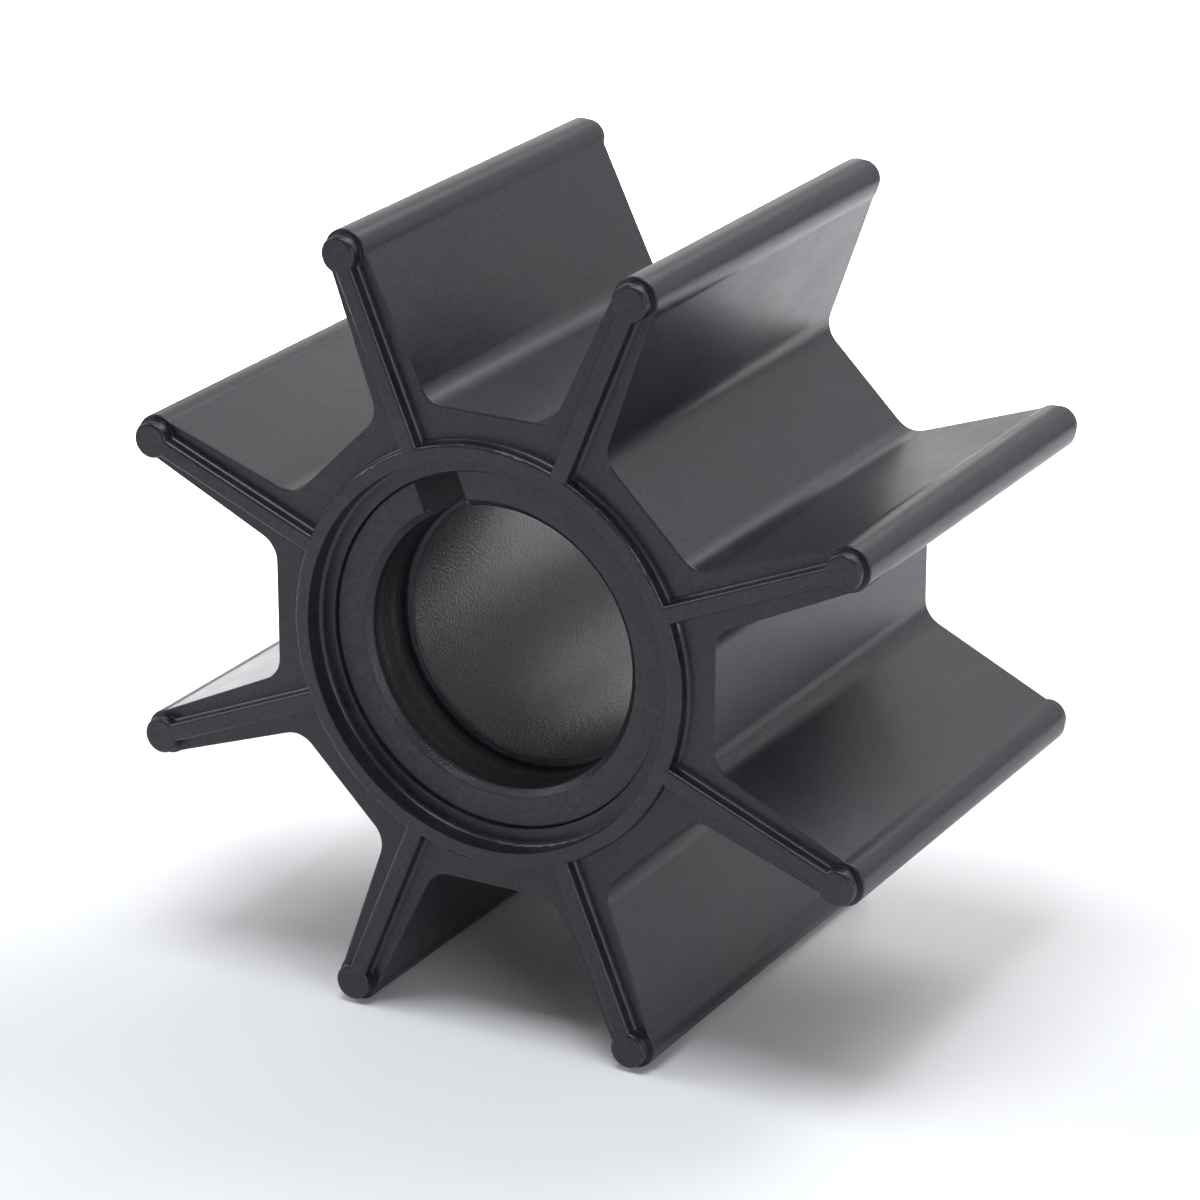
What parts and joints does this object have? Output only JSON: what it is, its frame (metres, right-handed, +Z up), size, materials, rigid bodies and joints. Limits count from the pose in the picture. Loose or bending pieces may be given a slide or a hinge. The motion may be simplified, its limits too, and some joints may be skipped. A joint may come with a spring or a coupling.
{
  "type": "rubber pump impeller",
  "caption": "Flexible water pump impeller with straight radial vanes, a round sealing bead on each vane tip and a keyed hub bush for the drive shaft.",
  "frame": {"origin": "centre of the impeller, on the spin axis halfway between its two end lands", "axes": "+Y along the spin axis from the front end to the rear end, +Z up with the impeller lying on two vane tips, +X to the right seen from the front"},
  "size_m": [0.0616, 0.0374, 0.0616],
  "materials": {
    "rubber": "satin, as moulded",
    "bush_plastic": "matte, as moulded"
  },
  "bodies": {
    "root": {"rubber_impeller": "rubber", "hub_bush": "bush_plastic"}
  },
  "joints": []
}
